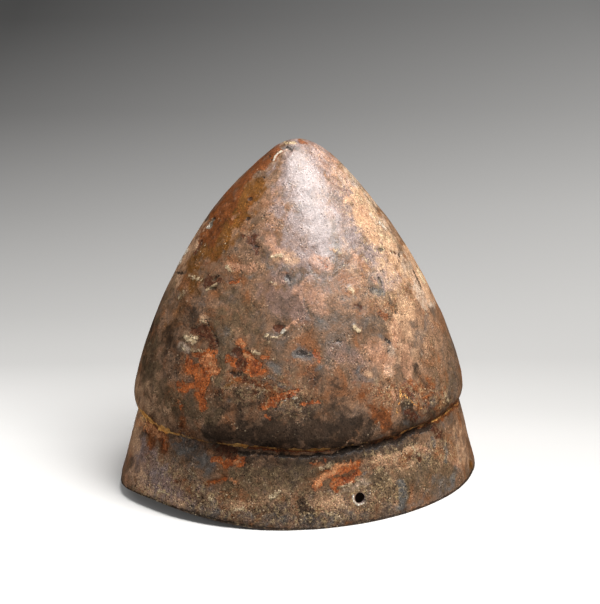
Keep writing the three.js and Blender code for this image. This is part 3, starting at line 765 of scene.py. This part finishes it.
# %% Material
FINISHES = {  # dark and light tone, roughness, opacity, noise and softness of the edge, bump height
    # A pale crust, and along the dome's right edge a painted rim light
    "bone_and_rim_light": ("#a08872", "#dcc6b0", 0.45, 0.80, "scales_a", 0.34, 0.0),
    # A lilac-grey patina, and where the highlight falls a painted sheen
    "rose_and_sheen": ("#6c5a55", "#9f8d88", 0.32, 0.90, "scales_a", 0.28, 0.0),
    "mauve": ("#58453d", "#86695c", 0.38, 0.88, "scales_b", 0.30, 0.0),
    "tan": ("#946c50", "#c29b78", 0.42, 0.84, "scales_b", 0.28, 0.05),
    "ochre": ("#4c2f0d", "#7c4d1b", 0.40, 0.94, "scales_a", 0.24, 0.0),
    "rust": ("#4c2610", "#80461e", 0.40, 0.88, "scales_b", 0.22, 0.0),
    # Dark brown patina, and on the lower dome and under the lip a painted shade
    "umber_and_shade": ("#271d15", "#46372b", 0.40, 0.92, "scales_a", 0.26, 0.0),
    "olive": ("#473828", "#6c5840", 0.40, 0.84, "flakes_a", 0.24, 0.1),
    "slate": ("#403d3b", "#68645f", 0.38, 0.84, "scales_b", 0.28, 0.0),
    "salmon": ("#8d624a", "#c29070", 0.42, 0.80, "flakes_a", 0.38, 0.0),
    # Red cuprite, and under the lip a painted orange reflection
    "cuprite_and_glow": ("#5a2208", "#b8622c", 0.48, 0.92, "flakes_a", 0.12, -0.15),
    "oxblood": ("#331a10", "#5f3420", 0.42, 0.90, "flakes_b", 0.10, -0.2),
    # Bright copper crystals, and at the lip's left end a painted warm reflection
    "copper_and_glow": ("#8e4c26", "#d89a6a", 0.42, 0.90, "flakes_b", 0.18, 0.1),
    "cream": ("#8f7858", "#d0ba96", 0.55, 0.84, "flakes_b", 0.14, 0.25),
    "chalk": ("#968a78", "#d2c8b8", 0.55, 0.90, "flakes_b", 0.06, 0.25),
    # Bright metal at the lip, partly worn and partly a painted warm reflection
    "gold_and_glint": ("#cc7a2c", "#ffc878", 0.30, 1.00, "flakes_a", 0.14, 0.0),
    # Pits and dark spots, and the painted shadow in the groove and along the rim's foot
    "pits_and_shade": ("#18110d", "#2f241c", 0.50, 0.85, "flakes_b", 0.10, -0.4),
}
FLAKE_REACH, FLAKE_START = 0.62, 0.81  # how much a share counts, and the sum from which a finish covers
EDGE_SHADES = {"cuprite_and_glow": "#2e1c10", "cream": "#3a2a1c", "chalk": "#3a2a1c"}  # painted shade where a crust ends
EDGE_SHADE_HALF_WIDTH, EDGE_SHADE_STRENGTH = 0.03, 0.4
BASE_TONES = [(0.36, "#473627"), (0.46, "#674e3a"), (0.54, "#81614a"), (0.66, "#9c785a")]
BASE_ROUGHNESS = 0.36
TINTS = [(0.52, 0.68, "#834f2a"), (0.48, 0.32, "#5c544d")]  # noise where it starts and is full, colour
TINT_COVER = 0.65
VALUE_WEIGHTS = {"mottle": 0.44, "mid": 0.30, "fine": 0.20, "grit": 0.24}
TONE_WEIGHTS, TONE_REACH = {"mid": 0.9, "fine": 0.4, "grit": 0.15}, 0.2
PATCH_START, PATCH_FULL, PATCH_COVER = 0.50, 0.65, 0.8  # where flecks, veins and pits gather
VEIN_START, VEIN_FULL, VEIN_COVER, VEIN_COLOUR, VEIN_BUMP = 0.75, 1.1, 0.6, "#b39a80", 0.15
FLECKS = [(0.43, 0.35, 0.12), (0.58, 0.67, 2.7)]  # noise where it starts and is full, factor on the colour
FLECKS_OFF_PATCHES = 0.5
LACE_START, LACE_FULL, LACE_COVER, LACE_COLOUR = 0.53, 0.60, 0.75, "#b89c72"
# Grains and pits finer than a pixel would be lost in the picture, so the finest are drawn coarser
# than they are.
NOISES = [  # name, kind, size in mm, detail, roughness, distortion
    ("mottle", "FBM", 26, 4, 0.60, 0.6),
    ("tint", "FBM", 15, 4, 0.60, 0.8),
    ("patch", "FBM", 14, 3, 0.60, 0.5),
    ("mid", "FBM", 7, 4, 0.60, 1.0),
    ("fine", "FBM", 2.8, 3, 0.70, 0.6),
    ("grit", "FBM", 1.5, 2, 0.80, 0.0),
    ("flecks", "FBM", 0.85, 2, 0.60, 0.0),
    ("lace", "FBM", 2.6, 5, 0.85, 0.4),
    ("veins", "RIDGED_MULTIFRACTAL", 5, 3, 0.60, 0.8),
    ("scales_a", "FBM", 9, 6, 0.66, 0.5),
    ("scales_b", "FBM", 7, 6, 0.66, 0.5),
    ("flakes_a", "FBM", 4.5, 5, 0.70, 0.5),
    ("flakes_b", "FBM", 3.5, 5, 0.70, 0.5),
]
SPECKS = [  # spacing in mm, outer and inner radius as shares of it, cover off the patches, colour, bump
    (2.7, 0.27, 0.10, 0.45, "#1e1610", -0.5),
    (2.6, 0.24, 0.10, 0.0, "#cfb694", 0.4),
]
SPECK_CHOSEN, SPECK_COVER = (0.40, 0.50), 0.85
GRAIN_BUMP = 0.8
BUMP_STRENGTH, BUMP_DISTANCE = 0.9, 0.35 * MM
PATINA_IOR = 1.5


def linear(colour):
    """A colour written as sRGB hex, as the linear colour with alpha that the nodes take."""
    channels = [int(colour[place:place + 2], 16) / 255 for place in (1, 3, 5)]
    return [c / 12.92 if c <= 0.04045 else ((c + 0.055) / 1.055) ** 2.4 for c in channels] + [1.0]


def add_node(tree, kind, inputs, output=0, stops=(), **settings):
    """Adds a node, sets or links its inputs, fills a ramp's stops, and gives back one output or the node."""
    node = tree.nodes.new(kind)
    for name, value in settings.items():
        setattr(node, name, value)
    for socket, value in inputs.items():
        if isinstance(value, bpy.types.NodeSocket):
            tree.links.new(value, node.inputs[socket])
        else:
            node.inputs[socket].default_value = value
    for _ in stops[2:]:
        node.color_ramp.elements.new(0.5)
    for number, (position, colour) in enumerate(stops):
        node.color_ramp.elements[number].position = position
        node.color_ramp.elements[number].color = colour
    return node if output is None else node.outputs[output]


# A mottled brown skin with a soft gloss, over faint hammer marks
patina = bpy.data.materials.new("Bronze, hammer-raised, with burial patina")
patina.use_nodes = True
tree = patina.node_tree
tree.nodes.clear()
place = add_node(tree, "ShaderNodeTexCoord", {}, "Object")
noises = {}
for name, kind, size, detail, rough, distortion in NOISES:
    noises[name] = add_node(tree, "ShaderNodeTexNoise", {
        "Vector": place, "Scale": 1 / (size * MM), "Detail": detail, "Roughness": rough,
        "Distortion": distortion}, noise_type=kind)


sums = []
for weights in (VALUE_WEIGHTS, TONE_WEIGHTS):
    total = -sum(weights.values()) / 2
    for name, weight in weights.items():
        total = add_node(tree, "ShaderNodeMath", {0: noises[name], 1: weight, 2: total},
                         operation="MULTIPLY_ADD")
    sums.append(total)
value = sums[0]
tone = add_node(tree, "ShaderNodeMapRange", {0: sums[1], 1: -TONE_REACH, 2: TONE_REACH})

middle = add_node(tree, "ShaderNodeMath", {0: value, 1: 0.5})
stops = [(position, linear(tint)) for position, tint in BASE_TONES]
colour = add_node(tree, "ShaderNodeValToRGB", {0: middle}, stops=stops)
roughness, height = BASE_ROUGHNESS, value
for low, high, tint in TINTS:
    cover = add_node(tree, "ShaderNodeMapRange", {0: noises["tint"], 1: low, 2: high, 4: TINT_COVER})
    colour = add_node(tree, "ShaderNodeMix", {0: cover, 6: colour, 7: linear(tint)}, 2, data_type="RGBA")

for finish, (dark, light, rough, opacity, source, edge, bump) in FINISHES.items():
    share = add_node(tree, "ShaderNodeAttribute", {}, "Fac", attribute_name=finish)
    flaked = add_node(tree, "ShaderNodeMath", {0: share, 1: FLAKE_REACH, 2: noises[source]},
                      operation="MULTIPLY_ADD")
    cover = add_node(tree, "ShaderNodeMapRange",
                     {0: flaked, 1: FLAKE_START, 2: FLAKE_START + edge, 4: opacity})
    shade = add_node(tree, "ShaderNodeMix", {0: tone, 6: linear(dark), 7: linear(light)}, 2,
                     data_type="RGBA")
    colour = add_node(tree, "ShaderNodeMix", {0: cover, 6: colour, 7: shade}, 2, data_type="RGBA")
    roughness = add_node(tree, "ShaderNodeMix", {0: cover, 2: roughness, 3: rough}, data_type="FLOAT")
    height = add_node(tree, "ShaderNodeMath", {0: cover, 1: bump, 2: height}, operation="MULTIPLY_ADD")
    # A thin dark line is painted where a crust ends, as the shade of its edge.
    if finish in EDGE_SHADES:
        line = add_node(tree, "ShaderNodeMath", {0: flaked, 1: FLAKE_START, 2: EDGE_SHADE_HALF_WIDTH},
                        operation="COMPARE")
        line = add_node(tree, "ShaderNodeMath", {0: line, 1: EDGE_SHADE_STRENGTH}, operation="MULTIPLY")
        colour = add_node(tree, "ShaderNodeMix", {0: line, 6: colour, 7: linear(EDGE_SHADES[finish])}, 2,
                          data_type="RGBA")

patches = add_node(tree, "ShaderNodeMapRange",
                   {0: noises["patch"], 1: PATCH_START, 2: PATCH_FULL, 4: PATCH_COVER})
crusted = add_node(tree, "ShaderNodeAttribute", {}, "Fac", attribute_name="crusted")
patches = add_node(tree, "ShaderNodeMath", {0: patches, 1: crusted}, operation="MAXIMUM")
veins = add_node(tree, "ShaderNodeMapRange",
                 {0: noises["veins"], 1: VEIN_START, 2: VEIN_FULL, 4: VEIN_COVER})
veins = add_node(tree, "ShaderNodeMath", {0: veins, 1: patches}, operation="MULTIPLY")
colour = add_node(tree, "ShaderNodeMix", {0: veins, 6: colour, 7: linear(VEIN_COLOUR)}, 2, data_type="RGBA")
flecked = add_node(tree, "ShaderNodeMapRange", {0: patches, 3: FLECKS_OFF_PATCHES, 4: 1.0})
for low, high, factor in FLECKS:
    fleck = add_node(tree, "ShaderNodeMapRange", {0: noises["flecks"], 1: low, 2: high, 3: 1.0, 4: factor})
    colour = add_node(tree, "ShaderNodeMix", {0: flecked, 6: colour, 7: fleck}, 2, data_type="RGBA",
                      blend_type="MULTIPLY")
lace = add_node(tree, "ShaderNodeMapRange", {0: noises["lace"], 1: LACE_START, 2: LACE_FULL, 4: LACE_COVER})
lace = add_node(tree, "ShaderNodeMath", {0: lace, 1: crusted}, operation="MULTIPLY")
colour = add_node(tree, "ShaderNodeMix", {0: lace, 6: colour, 7: linear(LACE_COLOUR)}, 2, data_type="RGBA")
for spacing, outer, inner, least, tint, bump in SPECKS:
    cells = add_node(tree, "ShaderNodeTexVoronoi", {"Vector": place, "Scale": 1 / (spacing * MM)}, None)
    speck = add_node(tree, "ShaderNodeMapRange", {0: cells.outputs["Distance"], 1: outer, 2: inner})
    chosen = add_node(tree, "ShaderNodeMapRange",
                      {0: cells.outputs["Color"], 1: SPECK_CHOSEN[0], 2: SPECK_CHOSEN[1]})
    spread = add_node(tree, "ShaderNodeMapRange", {0: patches, 3: least, 4: SPECK_COVER})
    for cover in (chosen, spread):
        speck = add_node(tree, "ShaderNodeMath", {0: speck, 1: cover}, operation="MULTIPLY")
    colour = add_node(tree, "ShaderNodeMix", {0: speck, 6: colour, 7: linear(tint)}, 2, data_type="RGBA")
    height = add_node(tree, "ShaderNodeMath", {0: speck, 1: bump, 2: height}, operation="MULTIPLY_ADD")
grains = add_node(tree, "ShaderNodeMath", {0: noises["flecks"], 1: patches}, operation="MULTIPLY")
for cover, bump in ((veins, VEIN_BUMP), (grains, GRAIN_BUMP)):
    height = add_node(tree, "ShaderNodeMath", {0: cover, 1: bump, 2: height}, operation="MULTIPLY_ADD")
normal = add_node(tree, "ShaderNodeBump", {
    "Strength": BUMP_STRENGTH, "Distance": BUMP_DISTANCE, "Height": height})
shader = add_node(tree, "ShaderNodeBsdfPrincipled", {
    "Base Color": colour, "Roughness": roughness, "Normal": normal, "Metallic": 0.0, "IOR": PATINA_IOR})
add_node(tree, "ShaderNodeOutputMaterial", {"Surface": shader}, None)
shell.data.materials.clear()
shell.data.materials.append(patina)
print("material: %d nodes" % len(tree.nodes))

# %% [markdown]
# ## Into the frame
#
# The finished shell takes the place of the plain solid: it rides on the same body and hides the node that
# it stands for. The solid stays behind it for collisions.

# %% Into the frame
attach(shell, "root")
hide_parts("helmet_shell")
print("shell takes the place of helmet_shell")

# %% [markdown]
# ## A plain studio
#
# The helmet stands on a pale sheet with a painted shade that deepens back from the helmet, most at the far
# left. One softbox hangs above and to the right of the camera, and leaves the long soft highlight below the
# tip. Three weaker panels fill the shade: one from behind at the left, one from low at the left, and one
# from the right. They and the room light the metal but aren't mirrored in it, so the highlight stays
# single. The floor sends no light up, so its brightness can be set for the picture alone.

# %% Floor and light
FLOOR_SIZE, FLOOR_COLOUR, FLOOR_ROUGHNESS, FLOOR_SPECULAR = 12.0, "#e0dedb", 0.9, 0.1
FLOOR_SHADE = [  # painted shade: way back from the helmet in m, share of the floor's colour at the left and at the right
    (-0.25, 1.00, 0.80), (-0.05, 1.00, 0.60), (0.05, 0.95, 0.50), (0.10, 0.80, 0.46), (0.20, 0.54, 0.43),
    (0.31, 0.45, 0.45), (0.58, 0.32, 0.46), (0.93, 0.185, 0.42), (1.37, 0.115, 0.40),
]
FLOOR_SIDES = 0.32  # m to the left and to the right where each share is full
LIGHT_AIM = Vector((0, 0, 0.1))
LIGHTS = [  # name, azimuth, elevation, distance, width and height in m, power in W, mirrored in gloss
    ("key_softbox", 124, 64, 1.25, 0.65, 1.2, 38, True),
    ("left_fill", 297, 28, 2.0, 1.6, 1.4, 11, False),
    ("low_fill", 348, 14, 2.0, 1.2, 0.8, 11, False),
    ("right_fill", 160, 28, 1.8, 0.6, 1.0, 8, False),
]
WORLD_COLOUR, WORLD_STRENGTH = "#c8ccd2", 0.22

bpy.ops.object.select_all(action="DESELECT")
bpy.ops.mesh.primitive_plane_add(size=FLOOR_SIZE)
floor = bpy.context.object
floor.name = "studio_floor"
floor.visible_diffuse = False
floor.visible_glossy = False
# Without shine; its colour carries a painted shade that deepens back from the helmet and to the left
paper = bpy.data.materials.new("Paper, matt studio backdrop with painted shade")
paper.use_nodes = True
tree = paper.node_tree
tree.nodes.clear()
place = add_node(tree, "ShaderNodeTexCoord", {}, "Object")
offsets = []
for direction, low, high in (
        (Vector((-math.sin(turn), math.cos(turn), 0)), FLOOR_SHADE[0][0], FLOOR_SHADE[-1][0]),
        (CAMERA_RIGHT, -FLOOR_SIDES, FLOOR_SIDES)):
    way = add_node(tree, "ShaderNodeVectorMath", {0: place, 1: direction}, "Value", operation="DOT_PRODUCT")
    offsets.append(add_node(tree, "ShaderNodeMapRange", {0: way, 1: low, 2: high}))
nearest, farthest = FLOOR_SHADE[0][0], FLOOR_SHADE[-1][0]
shades = []
for column in (1, 2):
    stops = []
    for row in FLOOR_SHADE:
        tint = [row[column] * channel for channel in linear(FLOOR_COLOUR)[:3]]
        stops.append(((row[0] - nearest) / (farthest - nearest), tint + [1.0]))
    shades.append(add_node(tree, "ShaderNodeValToRGB", {0: offsets[0]}, stops=stops))
shade = add_node(tree, "ShaderNodeMix", {0: offsets[1], 6: shades[0], 7: shades[1]}, 2, data_type="RGBA")
shader = add_node(tree, "ShaderNodeBsdfPrincipled", {
    "Base Color": shade, "Roughness": FLOOR_ROUGHNESS, "Specular IOR Level": FLOOR_SPECULAR})
add_node(tree, "ShaderNodeOutputMaterial", {"Surface": shader}, None)
floor.data.materials.append(paper)

for name, azimuth, elevation, distance, width, tall, power, in_gloss in LIGHTS:
    a, e = math.radians(azimuth), math.radians(elevation)
    direction = Vector((math.sin(a) * math.cos(e), -math.cos(a) * math.cos(e), math.sin(e)))
    bpy.ops.object.select_all(action="DESELECT")
    bpy.ops.object.light_add(type="AREA", location=direction * distance + LIGHT_AIM)
    light = bpy.context.object
    light.name = name
    light.rotation_euler = direction.to_track_quat("Z", "Y").to_euler()
    light.data.shape = "RECTANGLE"
    light.data.size, light.data.size_y = width, tall
    light.data.energy = power
    light.visible_glossy = in_gloss

world = bpy.data.worlds.new("soft_room")
bpy.context.scene.world = world
world.use_nodes = True
world.node_tree.nodes["Background"].inputs["Color"].default_value = linear(WORLD_COLOUR)
world.node_tree.nodes["Background"].inputs["Strength"].default_value = WORLD_STRENGTH
world.cycles_visibility.glossy = False
bpy.context.scene.view_settings.view_transform = "Standard"
print("studio: %d lights" % len(LIGHTS))

# %% End
print("scene built")
